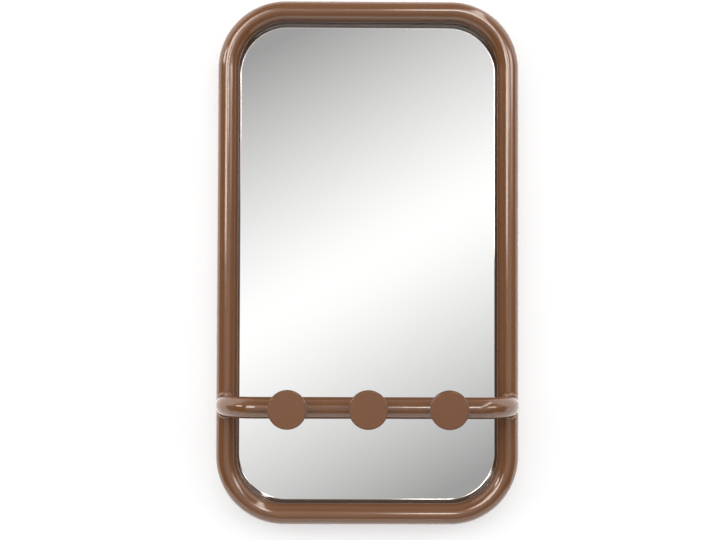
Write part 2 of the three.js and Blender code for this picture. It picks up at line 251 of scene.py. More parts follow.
# %% [markdown]
# ## Finishes
#
# Powder coat is paint that was melted on. It is smooth to the hand, yet a low, soft waviness
# stays in it, the orange peel, which makes a reflection tremble a little. The brown is glossy
# on the tubes. On the discs it is darker and duller, so that the blurred reflection of a whole
# room adds up to an even tone, and only their rounded edges have a sharper gleam.

# %% Brown paint
TUBE_BROWN = linear(120, 79, 50)
DISC_BROWN = linear(105, 68, 43)
PEEL_GRAIN = 1.8 * MM
PEEL_DEPTH = 0.0022 * MM
BLOTCH_GRAIN = 45 * MM
HAZE_GRAIN = 9 * MM


def brown_paint(name, colour, roughness, peel, shine=0.5, edge_roughness=None):
    """Brown powder coat. The colour drifts by a few per cent over blotches of 45 mm, the
    roughness drifts with finer ones, and peel scales the waviness. A flat face that looks
    along Y has the roughness, and what turns away from it has the edge's."""
    material, wires = new_material(name)
    drift = wires.noise(BLOTCH_GRAIN, detail=3.0)
    haze = wires.noise(HAZE_GRAIN, detail=3.0)
    wave = wires.noise(PEEL_GRAIN, detail=1.5)
    if edge_roughness is not None:
        flat = wires.smooth_step(wires.facing("Y"), 0.9, 0.995)
        roughness = edge_roughness + (roughness - edge_roughness) * flat
    wires.principled({
        "Base Color": wires.mix_colour(drift, scaled(colour, 0.93), scaled(colour, 1.07)),
        "Roughness": roughness * (0.7 + 0.6 * haze),
        "IOR": 1.5,
        "Specular IOR Level": shine,
        "Normal": wires.bump(wave, PEEL_DEPTH * peel),
    })
    return material


tube_paint = brown_paint("gloss_brown_paint", TUBE_BROWN, 0.11, 0.6)
disc_paint = brown_paint(
    "satin_brown_paint", DISC_BROWN, 0.42, 1.6, shine=0.33, edge_roughness=0.16,
)

# %% [markdown]
# A mirror is two things: clear float glass, and a film of silver on its back. The silver is
# what reflects, 4 mm inside, so the frame and its image never quite touch. The glass shows
# its own faint green only at the ground edge.

# %% Glass and silver
CLEAR_GLASS = (0.996, 1.0, 0.998, 1.0)
EDGE_GREEN = linear(120, 150, 135)
EDGE_PALE = linear(150, 176, 163)
SILVER = (0.965, 0.96, 0.955, 1.0)
BACKING_GREY = linear(96, 100, 98)


def clear_glass():
    """Float glass that bends light and adds no reflection of its own when seen straight on. The
    silver's is twenty times as strong."""
    material, wires = new_material("clear_glass")
    wires.principled({
        "Base Color": CLEAR_GLASS,
        "Roughness": 0.0,
        "IOR": 1.52,
        "Specular Tint": (0.0, 0.0, 0.0, 1.0),
        "Transmission Weight": 1.0,
    })
    return material


def ground_edge():
    """Glass that was ground to a matt edge, and sealed."""
    material, wires = new_material("ground_glass_edge")
    grit = wires.noise(0.35 * MM, detail=2.0)
    wires.principled({
        "Base Color": wires.mix_colour(grit, EDGE_GREEN, EDGE_PALE),
        "Roughness": 0.38 + 0.15 * grit,
        "IOR": 1.52,
        "Normal": wires.bump(grit, 0.01 * MM),
    })
    return material


def silver_film():
    """Silver towards the glass. It is as smooth as the float glass that it was laid on."""
    material, wires = new_material("silver_film")
    wires.principled({
        "Base Color": SILVER,
        "Metallic": 1.0,
        "Roughness": 0.0,
    })
    return material


def backing_paint():
    """The grey lacquer that seals the silver from behind, curtain-coated in faint waves."""
    material, wires = new_material("mirror_backing_paint")
    wave = wires.noise(6 * MM, detail=2.0, stretch=(8.0, 1.0, 1.0))
    wires.principled({
        "Base Color": wires.mix_colour(wave, scaled(BACKING_GREY, 0.9), BACKING_GREY),
        "Roughness": 0.45 + 0.1 * wave,
    })
    return material


glass_clear = clear_glass()
glass_edge = ground_edge()
silver = silver_film()
silver_back = backing_paint()

# %% [markdown]
# The back of a mirror is plain and cheap: hardboard, painted black on its face and left with
# brown sawn edges, steel fittings with a thin bright zinc plate, and rubber pads.

# %% Board, zinc, rubber and tape
BOARD_BLACK = linear(44, 41, 39)
BOARD_WORN = linear(62, 57, 53)
SAWN_BROWN = linear(112, 84, 60)
SAWN_DARK = linear(78, 57, 41)
ZINC_LIGHT = linear(196, 200, 205)
ZINC_DARK = linear(160, 166, 173)
RUBBER = linear(34, 34, 35)
TAPE_WHITE = linear(228, 227, 220)


def painted_board():
    """Black paint on hardboard. Fibres stand in it as short fine streaks, and the paint is
    thinner and greyer over them."""
    material, wires = new_material("black_painted_board")
    fibre = wires.noise(0.8 * MM, detail=4.0, stretch=(4.0, 1.0, 1.0))
    cloud = wires.noise(60 * MM, detail=3.0)
    worn = wires.smooth_step(fibre + 0.25 * cloud, 0.55, 0.85)
    wires.principled({
        "Base Color": wires.mix_colour(worn, BOARD_BLACK, BOARD_WORN),
        "Roughness": 0.55 + 0.2 * fibre,
        "Normal": wires.bump(fibre, 0.05 * MM),
    })
    return material


def sawn_board():
    """The sawn edge of the board: brown, pressed in layers along the face."""
    material, wires = new_material("sawn_board_edge")
    layer = wires.noise(0.5 * MM, detail=3.0, stretch=(12.0, 1.0, 12.0))
    wires.principled({
        "Base Color": wires.mix_colour(layer, SAWN_DARK, SAWN_BROWN),
        "Roughness": 0.85,
        "Normal": wires.bump(layer, 0.08 * MM),
    })
    return material


def zinc_plate():
    """Bright zinc on rolled steel. The rolling leaves fine lines along X, and the plating is
    a little cloudy."""
    material, wires = new_material("bright_zinc")
    lines = wires.noise(0.25 * MM, detail=2.0, stretch=(30.0, 1.0, 1.0))
    cloud = wires.noise(4 * MM, detail=3.0)
    wires.principled({
        "Base Color": wires.mix_colour(cloud, ZINC_DARK, ZINC_LIGHT),
        "Metallic": 1.0,
        "Roughness": 0.26 + 0.14 * lines,
        "Normal": wires.bump(lines, 0.004 * MM),
    })
    return material


def speckled(name, colour, roughness, grain, depth):
    """A soft matt stuff whose skin is pitted at one grain, such as rubber or foam."""
    material, wires = new_material(name)
    pits = wires.noise(grain, detail=3.0)
    wires.principled({
        "Base Color": wires.mix_colour(pits, scaled(colour, 0.75), colour),
        "Roughness": roughness,
        "Normal": wires.bump(pits, depth),
    })
    return material


board_paint = painted_board()
board_edge = sawn_board()
zinc = zinc_plate()
rubber = speckled("black_rubber", RUBBER, 0.75, 0.5 * MM, 0.03 * MM)
tape = speckled("foam_tape", TAPE_WHITE, 0.9, 0.7 * MM, 0.1 * MM)
print("materials:", len(bpy.data.materials))

# %% [markdown]
# ## From arrays of points to a piece
#
# Each surface here is a grid of points that numpy works out at once: rows along a path or a
# profile, columns round it. `Skin` collects such grids and flat caps, and makes one mesh of
# them. Faces are wound so that they point out of the metal, also inside a bore.


# %% Skins
class Skin:
    """Grids of points and flat caps that become one mesh."""

    def __init__(self):
        self.points = []
        self.faces = []
        self.finishes = []
        self.count = 0

    def add_points(self, points):
        start = self.count
        self.points.append(points.reshape(-1, 3))
        self.count += self.points[-1].shape[0]
        return start

    def add_faces(self, faces, finish):
        self.faces.extend(faces)
        self.finishes.extend([finish] * len(faces))

    def grid(self, points, wrap_rows=False, inward=False, finish=0):
        """Quads over a grid of points whose columns close on themselves. Wrap_rows closes the
        rows too, and inward turns the faces round. Returns the grid's first index."""
        rows, columns = points.shape[:2]
        start = self.add_points(points)
        row = np.arange(rows if wrap_rows else rows - 1)[:, None]
        column = np.arange(columns)[None, :]
        below = (row + 1) % rows
        beside = (column + 1) % columns
        corners = [
            row * columns + column,
            row * columns + beside,
            below * columns + beside,
            below * columns + column,
        ]
        if inward:
            corners.reverse()
        quads = np.stack(corners, axis=-1).reshape(-1, 4) + start
        self.add_faces(quads.tolist(), finish)
        return start

    def cap(self, first, count, inward=False, finish=0):
        """One flat face on a ring of points that the grid already has."""
        ring = list(range(first, first + count))
        self.add_faces([ring[::-1] if inward else ring], finish)

    def bridge(self, first, second, count, finish=0):
        """Quads between two rings of as many points."""
        column = np.arange(count)
        beside = (column + 1) % count
        corners = [first + column, second + column, second + beside, first + beside]
        self.add_faces(np.stack(corners, axis=-1).tolist(), finish)

    def solid(self, rings, inward=False, finish=0, ends=(0, 0)):
        """A grid with a flat cap on its first ring and its last, whose finishes are the ends."""
        rows, count = rings.shape[:2]
        start = self.grid(rings, inward=inward, finish=finish)
        self.cap(start, count, not inward, ends[0])
        self.cap(start + (rows - 1) * count, count, inward, ends[1])
        return self

    def piece(self, name, materials, sharp=35.0):
        """The mesh as an object. An edge sharper than the angle, in degrees, stays crisp."""
        mesh = bpy.data.meshes.new(name)
        mesh.from_pydata(np.concatenate(self.points), [], self.faces)
        for material in materials:
            mesh.materials.append(material)
        mesh.polygons.foreach_set("material_index", np.array(self.finishes, dtype=np.int32))
        mesh.shade_smooth()
        mesh.set_sharp_from_angle(angle=math.radians(sharp))
        mesh.update()
        return in_scene(name, mesh)


def stands_for(piece, slot, *nodes):
    """The piece rides on the one body and is shown for the nodes. The slot is not used."""
    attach(piece, "root")
    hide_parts(*nodes)
    return piece


def sew(mesh, distance=0.01 * MM):
    """Merges points that share a place, so that the edges between faces close."""
    work = bmesh.new()
    work.from_mesh(mesh)
    bmesh.ops.remove_doubles(work, verts=work.verts, dist=distance)
    bmesh.ops.recalc_face_normals(work, faces=work.faces)
    work.to_mesh(mesh)
    work.free()


def left_out_of_reflections(piece):
    """The photograph's mirror shows no image of the rail and its hooks, so no reflection here
    shows this piece. That is a choice for the picture: a real mirror would show it."""
    piece.visible_glossy = False
    piece.visible_transmission = False


def final_mesh(piece):
    """The piece's shape after its modifiers, or a curve's once it is filled, as a new mesh."""
    shape = piece.evaluated_get(bpy.context.evaluated_depsgraph_get())
    mesh = bpy.data.meshes.new_from_object(shape)
    sew(mesh)
    return mesh


def carved(piece, cutter):
    """Cuts one object's shape out of another, for good, and deletes the cutter."""
    cut = piece.modifiers.new("cut", "BOOLEAN")
    cut.object = cutter
    cut.operation = "DIFFERENCE"
    cut.solver = "EXACT"
    mesh = final_mesh(piece)
    piece.modifiers.clear()
    piece.data = mesh
    bpy.data.objects.remove(cutter)
    return piece


# %% [markdown]
# ## The frame's tube
#
# A tube bender turns the tube round a former, so its centreline is straight legs and exact
# quarter circles. Two small arrays say it all: the points of the centreline and, at each one,
# the direction across the bend. A ring of points round each of them is the tube.

# %% Sizes that the frame and the rail share
frame_low, frame_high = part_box("frame_tube")
rail_low, rail_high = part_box("hook_rail")
TUBE_RADIUS = (frame_high.y - frame_low.y) / 2
TUBE_WALL = 1.5 * MM
BORE_RADIUS = TUBE_RADIUS - TUBE_WALL
CORNER_RADIUS = 77 * MM
VENT_RADIUS = 3 * MM
FRAME_Y = (frame_low.y + frame_high.y) / 2
SIDE_X = frame_high.x - TUBE_RADIUS
TOP_Z = frame_high.z - TUBE_RADIUS
RAIL_Y = rail_low.y + TUBE_RADIUS
RAIL_Z = (rail_low.z + rail_high.z) / 2
print("tube radius", TUBE_RADIUS, "side", SIDE_X, "top", TOP_Z, "rail", RAIL_Y, RAIL_Z)


def rounded_rectangle(half_width, half_height, radius, steps):
    """Points of a rectangle with quarter-circle corners, and the direction out of it at each
    one. Each corner has steps + 1 points at equal angles, and the sides are the stretches
    between corners. Anticlockwise, as seen from the front, from the right of the top right
    corner's arc."""
    corner = np.repeat(np.arange(4), steps + 1)
    angle = (corner + np.tile(np.linspace(0, 1, steps + 1), 4)) * np.pi / 2
    out = np.stack([np.cos(angle), np.sin(angle)], axis=-1)
    sign = np.array([[1, 1], [-1, 1], [-1, -1], [1, -1]])[corner]
    centre = sign * np.array([half_width - radius, half_height - radius])
    return centre + radius * out, out


def frame_ring(radius, sides, steps):
    """The frame's surface at a distance from its centreline: centreline + radius * (cos a *
    out of the loop + sin a * towards the viewer)."""
    centre, out = rounded_rectangle(SIDE_X, TOP_Z, CORNER_RADIUS, steps)
    angle = np.arange(sides) * 2 * np.pi / sides
    across = centre[:, None, :] + radius * np.cos(angle)[None, :, None] * out[:, None, :]
    depth = FRAME_Y - radius * np.sin(angle)[None, :] * np.ones((len(centre), 1))
    return np.stack([across[..., 0], depth, across[..., 1]], axis=-1)


# %% Build the frame
FRAME_SIDES = 96
FRAME_CORNER_STEPS = 40

frame_skin = Skin()
frame_outside = frame_ring(TUBE_RADIUS, FRAME_SIDES, FRAME_CORNER_STEPS)
frame_bore = frame_ring(BORE_RADIUS, FRAME_SIDES // 2, FRAME_CORNER_STEPS)
frame_skin.grid(frame_outside, wrap_rows=True)
frame_skin.grid(frame_bore, wrap_rows=True, inward=True)
bent_frame = frame_skin.piece("bent_frame", [tube_paint])

# %% [markdown]
# Behind the bottom leg is the vent, a small hole that lets hot air out of the closed tube
# while its paint is baked. A short cylinder cuts it through the rear wall.

# %% Turned shapes, and the vent
def turned_grid(profile, sides, centre):
    """A profile of (radius, depth) turned about a line along Y: x = r cos a, z = r sin a."""
    radius, depth = np.asarray(profile, dtype=float).T
    angle = np.arange(sides) * 2 * np.pi / sides
    x = radius[:, None] * np.cos(angle)
    z = radius[:, None] * np.sin(angle)
    y = np.broadcast_to(depth[:, None], x.shape)
    return np.stack([x, y, z], axis=-1) + np.asarray(centre)


def turned_solid(profile, sides, centre):
    """A turned solid whose profile runs from its front end to its back end."""
    return Skin().solid(turned_grid(profile, sides, centre), inward=True)


vent_profile = [(VENT_RADIUS, FRAME_Y), (VENT_RADIUS, FRAME_Y + 2 * TUBE_RADIUS)]
vent = turned_solid(vent_profile, 32, (0.0, 0.0, -TOP_Z))
carved(bent_frame, vent.piece("vent_cutter", [tube_paint]))
stands_for(bent_frame, "frame_paint", "frame_tube")
print("frame faces:", len(bent_frame.data.polygons))

# %% [markdown]
# ## The hook rail
#
# The rail leaves the left leg, bends, crosses and comes back into the right leg. Its ends are
# coped, cut to the round of the legs that they sit on. On the surface, that cut is where the
# distance from the leg's axis is one tube radius. It is found for all the points of the ring
# at once, by halving an interval.

# %% The rail's centreline
RAIL_BEND_RADIUS = 42 * MM
RAIL_LEG = FRAME_Y - RAIL_Y - RAIL_BEND_RADIUS
BEND_LENGTH = RAIL_BEND_RADIUS * np.pi / 2
STRAIGHT = 2 * (SIDE_X - RAIL_BEND_RADIUS)
RAIL_LENGTH = 2 * (RAIL_LEG + BEND_LENGTH) + STRAIGHT


def rail_half(length):
    """Centre and forward-facing side of the left half of the rail, at a length from the axis
    of the frame's leg: the leg, a quarter circle, then the straight."""
    turn = np.clip((length - RAIL_LEG) / BEND_LENGTH, 0, 1) * np.pi / 2
    leg = np.minimum(length, RAIL_LEG)
    past = np.maximum(length - RAIL_LEG - BEND_LENGTH, 0)
    x = -SIDE_X + RAIL_BEND_RADIUS * (1 - np.cos(turn)) + past
    y = FRAME_Y - leg - RAIL_BEND_RADIUS * np.sin(turn)
    outer = np.stack([-np.cos(turn), -np.sin(turn)], axis=-1)
    return np.stack([x, y], axis=-1), outer


def rail_surface(length, angle, radius):
    """Points at a length along the rail and an angle round it: centre + radius * (cos a *
    outer side of the bend + sin a * up). The right half mirrors the left."""
    mirrored = length > RAIL_LENGTH / 2
    centre, outer = rail_half(np.where(mirrored, RAIL_LENGTH - length, length))
    flat = centre + radius * np.cos(angle)[..., None] * outer
    x = np.where(mirrored, -flat[..., 0], flat[..., 0])
    z = RAIL_Z + radius * np.sin(angle)
    return np.stack([x, flat[..., 1], z + 0 * x], axis=-1)


def cope_length(angle, radius, leg_radius):
    """Where the rail's surface meets the round of the leg, as a length along the rail."""
    low = np.zeros_like(angle)
    high = np.full_like(angle, 2 * TUBE_RADIUS)
    for _ in range(40):
        middle = (low + high) / 2
        point = rail_surface(middle, angle, radius)
        inside = np.hypot(point[..., 0] + SIDE_X, point[..., 1] - FRAME_Y) < leg_radius
        low = np.where(inside, middle, low)
        high = np.where(inside, high, middle)
    return high


# %% Build the rail
RAIL_SIDES = 80
RAIL_STEPS = 220
rail_angle = np.arange(RAIL_SIDES) * 2 * np.pi / RAIL_SIDES
share = np.linspace(0, 1, RAIL_STEPS + 1)[:, None]


def rail_grid(radius):
    start = cope_length(rail_angle, radius, TUBE_RADIUS)
    length = start + share * (RAIL_LENGTH - 2 * start)
    return rail_surface(length, np.broadcast_to(rail_angle, length.shape), radius)


rail_skin = Skin()
outside = rail_skin.grid(rail_grid(TUBE_RADIUS), inward=True)
inside = rail_skin.grid(rail_grid(BORE_RADIUS))
last = RAIL_STEPS * RAIL_SIDES
rail_skin.bridge(inside, outside, RAIL_SIDES)
rail_skin.bridge(outside + last, inside + last, RAIL_SIDES)
bent_rail = stands_for(rail_skin.piece("bent_rail", [tube_paint]), "frame_paint", "hook_rail")
left_out_of_reflections(bent_rail)
print("rail length in mm:", round(RAIL_LENGTH / MM, 1))

# %% [markdown]
# ## Weld beads
#
# A welder fills the corner between two tubes with small overlapping drops, and the paint
# shows them as ripples. The bead follows the line where the two round surfaces meet, and
# dives into the metal where that corner closes.


# %% Beads along a line
def bead(centre, outward, radius, sides):
    """Rings of the given radii round a line of points. A ring lies across the line, and its
    first point looks outward."""
    along = np.gradient(centre, axis=0)
    along /= np.linalg.norm(along, axis=1, keepdims=True)
    outward = outward - np.sum(outward * along, axis=1, keepdims=True) * along
    outward /= np.linalg.norm(outward, axis=1, keepdims=True)
    across = np.cross(along, outward)
    angle = np.arange(sides) * 2 * np.pi / sides
    cosine, sine = np.cos(angle)[None, :, None], np.sin(angle)[None, :, None]
    ring = cosine * outward[:, None, :] + sine * across[:, None, :]
    return centre[:, None, :] + radius[:, None, None] * ring


def drops(share, count, depth):
    """Scallops from 1 - depth, in the notches, to 1 on the drops' crests."""
    return 1 - depth * (1 - np.abs(np.sin(np.pi * count * share)) ** 0.7)


# %% Rail welds
RAIL_WELD_RADIUS = 4.5 * MM
RAIL_WELD_SPREAD = math.radians(72)
WELD_SHARP = 60
RAIL_WELD_DROPS = 15
RAIL_WELD_STEPS = 160
RAIL_WELD_SIDES = 28


def rail_weld(leg_x, side):
    """The corner between equal tubes is y = -|z| from the crossing of their axes, so the
    line is (R sin a, -R cos a, side R cos a), and it sinks by sin^2 towards its ends."""
    share = np.linspace(0, 1, RAIL_WELD_STEPS + 1)
    angle = (2 * share - 1) * RAIL_WELD_SPREAD
    sine = np.sin(angle)
    cosine = np.cos(angle)
    outward = np.stack([2 * sine, -cosine, side * cosine], axis=-1)
    outward /= np.linalg.norm(outward, axis=1, keepdims=True)
    line = TUBE_RADIUS * np.stack([sine, -cosine, side * cosine], axis=-1)
    sunk = RAIL_WELD_RADIUS * np.sin((2 * share - 1) * np.pi / 2) ** 2
    centre = line + [leg_x, FRAME_Y, RAIL_Z] - sunk[:, None] * outward
    radius = RAIL_WELD_RADIUS * drops(share, RAIL_WELD_DROPS, 0.07)
    return Skin().solid(bead(centre, outward, radius, RAIL_WELD_SIDES))


for name, leg in SIDES:
    for row, side in (("upper", 1), ("lower", -1)):
        skin = rail_weld(leg * SIDE_X, side)
        weld = skin.piece(f"rail_bead_{name}_{row}", [tube_paint], sharp=WELD_SHARP)
        left_out_of_reflections(weld)
        stands_for(weld, "frame_paint", f"rail_weld_{name}_{row}")

# %% [markdown]
# ## The hooks
#
# A hook is a turned disc on a turned stem. Their profiles are corners joined by straight
# lines, each corner rounded by its own small arc, and every flat has a pair of extra points
# close to its ends, which keep the flat faces truly flat in the light.


# %% Rounded profiles
def rounded_profile(corners, steps=6, guard=0.12 * MM):
    """A polyline whose corners (x, y, radius) become arcs tangent to both sides. On each
    straight, a point lies one guard from either end."""
    points = np.array([c[:2] for c in corners], dtype=float)
    path = [points[0]]
    for index in range(1, len(corners) - 1):
        before, corner, after = points[index - 1:index + 2]
        radius = corners[index][2]
        back = (before - corner) / np.linalg.norm(before - corner)
        ahead = (after - corner) / np.linalg.norm(after - corner)
        if radius == 0:
            path.append(corner)
            continue
        half = math.acos(np.clip(back @ ahead, -1, 1)) / 2
        reach = radius / math.tan(half)
        middle = corner + (back + ahead) / np.linalg.norm(back + ahead) * radius / math.sin(half)
        first = corner + back * reach - middle
        turn = np.linspace(0, 1, steps + 1) * (np.pi - 2 * half)
        sign = np.sign(-back[0] * ahead[1] + back[1] * ahead[0])
        cosine = np.cos(sign * turn)[:, None]
        sine = np.sin(sign * turn)[:, None]
        arc = middle + cosine * first + sine * np.array([-first[1], first[0]])
        path.append(arc[0] + back * guard)
        path.extend(arc)
        path.append(arc[-1] + ahead * guard)
    path.append(points[-1])
    return np.array(path)


# %% Discs, stems and their welds
DISC_SIDES = 160
DISC_FRONT_ROUND = 1.6 * MM
DISC_BACK_ROUND = 0.8 * MM
STEM_RADIUS = 8 * MM
STEM_CHAMFER = 0.5 * MM
STEM_SIDES = 64
STEM_WELD_RADIUS = 2.4 * MM
STEM_WELD_STEPS = 144
STEM_WELD_DROPS = 24
AXIS = 0.02 * MM  # where a profile starts and ends, so that no face there is a sliver


def hook_disc(node):
    """A flat disc, rounded at both edges, in the box of its solid."""
    low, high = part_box(node)
    radius = (high.x - low.x) / 2
    thickness = high.y - low.y
    profile = rounded_profile([
        (AXIS, 0, 0),
        (radius, 0, DISC_FRONT_ROUND),
        (radius, thickness, DISC_BACK_ROUND),
        (AXIS, thickness, 0),
    ], steps=8)
    centre = ((low.x + high.x) / 2, low.y, (low.z + high.z) / 2)
    return turned_solid(profile, DISC_SIDES, centre)


def hook_stem(centre_x, disc_back):
    """A turned stem. Its last ring follows the inside of the rail's wall, at the depth
    -sqrt(r^2 - z^2) from the rail's axis."""
    length = RAIL_Y - TUBE_RADIUS - disc_back
    corners = [(AXIS, 0, 0), (STEM_RADIUS, 0, STEM_CHAMFER), (STEM_RADIUS, length, 0)]
    points = turned_grid(
        rounded_profile(corners, steps=4), STEM_SIDES, (centre_x, disc_back, RAIL_Z),
    )
    height = points[-1, :, 2] - RAIL_Z
    points[-1, :, 1] = RAIL_Y - np.sqrt((TUBE_RADIUS - TUBE_WALL / 2) ** 2 - height ** 2)
    return Skin().solid(points, inward=True)


def stem_weld(centre_x):
    """A closed bead on the line where the stem meets the rail: (r cos a, -sqrt(R^2 -
    r^2 sin^2 a), r sin a) from the rail's axis."""
    share = np.arange(STEM_WELD_STEPS) / STEM_WELD_STEPS
    angle = share * 2 * np.pi
    x = STEM_RADIUS * np.cos(angle)
    z = STEM_RADIUS * np.sin(angle)
    line = np.stack([x, -np.sqrt(TUBE_RADIUS ** 2 - z ** 2), z], axis=-1)
    rise = z / STEM_RADIUS + z / TUBE_RADIUS
    outward = np.stack([x / STEM_RADIUS, -np.ones_like(x), rise], axis=-1)
    line, outward, share = [np.concatenate([v[-1:], v, v[:1]]) for v in (line, outward, share)]
    radius = STEM_WELD_RADIUS * drops(share, STEM_WELD_DROPS, 0.08)
    rings = bead(line + [centre_x, RAIL_Y, RAIL_Z], outward, radius, 16)[1:-1]
    skin = Skin()
    skin.grid(rings, wrap_rows=True)
    return skin


for name in THIRDS:
    low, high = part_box(f"hook_disc_{name}")
    centre_x = (low.x + high.x) / 2
    disc = hook_disc(f"hook_disc_{name}").piece(f"disc_{name}", [disc_paint])
    stands_for(disc, "disc_paint", f"hook_disc_{name}")
    stem = hook_stem(centre_x, high.y).piece(f"stem_{name}", [tube_paint])
    stands_for(stem, "frame_paint", f"hook_stem_{name}")
    weld = stem_weld(centre_x).piece(f"stem_bead_{name}", [tube_paint], sharp=WELD_SHARP)
    stands_for(weld, "frame_paint", f"stem_weld_{name}")
    for part in (disc, stem, weld):
        left_out_of_reflections(part)

# %% [markdown]
# ## The mirror
#
# The sheet of glass has the frame's own corners, a little smaller, and a ground arris all
# round. Its outline is the rounded rectangle again, and each ring of the sheet is the same
# outline, drawn in by a few tenths and moved in depth.


# %% Glass sheet and silver film
GLASS_CORNER = CORNER_RADIUS - 5 * MM
GLASS_ARRIS = 0.6 * MM
SILVER_INSET = 0.8 * MM
SILVER_BURIED = 0.02 * MM
SILVER_THICKNESS = 0.06 * MM
PLATE_STEPS = 32


glass_low, glass_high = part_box("mirror_glass")


def plate(levels, faces):
    """A flat plate of the glass's shape, with a front and a back face. Its edge is a ring at
    each (inset, depth) level, from the front to the back."""
    rings = []
    for inset, depth in levels:
        sizes = [size - inset for size in (glass_high.x, glass_high.z, GLASS_CORNER)]
        outline, _ = rounded_rectangle(*sizes, PLATE_STEPS)
        x, z = outline.T
        rings.append(np.stack([x, np.full_like(x, depth), z], axis=-1))
    return Skin().solid(np.stack(rings), inward=True, finish=1, ends=faces)


glass_levels = [
    (GLASS_ARRIS, glass_low.y),
    (0.0, glass_low.y + GLASS_ARRIS),
    (0.0, glass_high.y - GLASS_ARRIS),
    (GLASS_ARRIS, glass_high.y),
]
glass_sheet = plate(glass_levels, (0, 0))
glass_piece = glass_sheet.piece("glass_sheet", [glass_clear, glass_edge], sharp=15)
stands_for(glass_piece, "silvered_glass", "mirror_glass")

silver_front = glass_high.y - SILVER_BURIED
silver_levels = [(SILVER_INSET, silver_front), (SILVER_INSET, silver_front + SILVER_THICKNESS)]
film = plate(silver_levels, (0, 1))
film_piece = film.piece("silver_film", [silver, silver_back], sharp=15)
stands_for(film_piece, "silvered_glass", "mirror_glass")

# %% [markdown]
# ## The back
#
# Flat sheets with holes are drawn as flat curves: the outline and every hole are closed lines
# in one curve, which Blender fills, thickens and bevels at once. The keyholes in the hanger
# plates are two arcs each: a round entry for the screw's head and a narrow slot above it.

# %% Outlines and sheets
hanger_low, hanger_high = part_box("hanger_plate_right")
board_low, board_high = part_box("back_board")
HANGER_X = (hanger_low.x + hanger_high.x) / 2
HANGER_SCREW_OFFSET = 17 * MM
KEYHOLE_END_Z = TOP_Z - 1.5 * MM
KEYHOLE_ENTRY_Z = KEYHOLE_END_Z - 8 * MM
KEYHOLE_ENTRY_RADIUS = 5 * MM
KEYHOLE_SLOT_RADIUS = 2.5 * MM
BOARD_POCKET_MARGIN = 2 * MM
SIDE_BOSS_Z = 190 * MM
BOTTOM_BOSS_X = 80 * MM
BOARD_HOLE_RADIUS = 2.3 * MM
SHEET_SHARP = 20

board_fixings = {}
for name, side in SIDES:
    for row, step in (("lower", -1), ("middle", 0), ("upper", 1)):
        board_fixings[f"{name}_{row}"] = (side * SIDE_X, step * SIDE_BOSS_Z)
    board_fixings[f"bottom_{name}"] = (side * BOTTOM_BOSS_X, -TOP_Z)
hanger_fixings = {}
for plate_name, plate_side in SIDES:
    for end, side in SIDES:
        x = plate_side * HANGER_X + side * HANGER_SCREW_OFFSET
        hanger_fixings[f"hanger_{plate_name}_{end}"] = (x, TOP_Z)
fixings = {**board_fixings, **hanger_fixings}


def circle(x, z, radius, steps=40):
    angle = np.arange(steps) * 2 * np.pi / steps
    return np.stack([x + radius * np.cos(angle), z + radius * np.sin(angle)], axis=-1)


def keyhole(x, margin=0.0):
    """The entry's arc, open at its top where the slot is as wide, then the slot's round end."""
    entry = KEYHOLE_ENTRY_RADIUS + margin
    slot = KEYHOLE_SLOT_RADIUS + margin
    neck = math.asin(slot / entry)
    low_arc = np.linspace(np.pi / 2 + neck, 2.5 * np.pi - neck, 36)
    high_arc = np.linspace(0, np.pi, 16)
    entry_points = [x + entry * np.cos(low_arc), KEYHOLE_ENTRY_Z + entry * np.sin(low_arc)]
    slot_points = [x + slot * np.cos(high_arc), KEYHOLE_END_Z + slot * np.sin(high_arc)]
    return np.concatenate([np.stack(entry_points, axis=-1), np.stack(slot_points, axis=-1)])


def squareness(mesh):
    """How squarely each face looks along Y, from 0 to 1."""
    normals = np.zeros(len(mesh.polygons) * 3, dtype=np.float32)
    mesh.polygons.foreach_get("normal", normals)
    return np.abs(normals.reshape(-1, 3)[:, 1])


def sheet_with_holes(name, outlines, low_y, high_y, bevel, materials):
    """A sheet between two depths, bounded by the first outline and pierced by the others.
    The curve lies in its own XY plane, and stands up when Y becomes Z."""
    curve = bpy.data.curves.new(name, "CURVE")
    curve.dimensions = "2D"
    curve.fill_mode = "BOTH"
    curve.extrude = (high_y - low_y) / 2 - bevel
    curve.bevel_depth = bevel
    curve.bevel_resolution = 2
    curve.offset = -bevel
    for outline in outlines:
        spline = curve.splines.new("POLY")
        spline.points.add(len(outline) - 1)
        flat = np.zeros((len(outline), 4))
        flat[:, :2] = outline
        spline.points.foreach_set("co", flat.ravel())
        spline.use_cyclic_u = True
    drawn = in_scene(name + "_curve", curve)
    mesh = final_mesh(drawn)
    bpy.data.objects.remove(drawn)
    mesh.name = name
    middle = Matrix.Translation((0, (low_y + high_y) / 2, 0))
    mesh.transform(middle @ Matrix.Rotation(math.pi / 2, 4, "X"))
    mesh.materials.clear()
    for material in materials:
        mesh.materials.append(material)
    mesh.shade_smooth()
    mesh.set_sharp_from_angle(angle=math.radians(SHEET_SHARP))
    mesh.polygons.foreach_set("use_smooth", squareness(mesh) < 0.9999)
    return in_scene(name, mesh)


# %% Build the board
BOARD_BEVEL = 0.15 * MM
BOARD_CORNER = CORNER_RADIUS + (board_high.x - SIDE_X)
board_outline, _ = rounded_rectangle(board_high.x, board_high.z, BOARD_CORNER, PLATE_STEPS)
board_holes = [circle(x, z, BOARD_HOLE_RADIUS) for x, z in fixings.values()]
board_holes += [keyhole(side * HANGER_X, BOARD_POCKET_MARGIN) for _, side in SIDES]
board = sheet_with_holes(
    "board", [board_outline, *board_holes], board_low.y, board_high.y, BOARD_BEVEL,
    [board_paint, board_edge],
)
sawn = squareness(board.data) < 0.5
board.data.polygons.foreach_set("material_index", sawn.astype(np.int32))
stands_for(board, "black_board", "back_board")

# %% [markdown]
# Screws close the back: raised heads on the board, and countersunk ones through the hanger
# plates, flush with them. Both have a cross recess, cut with a tapered plus sign.


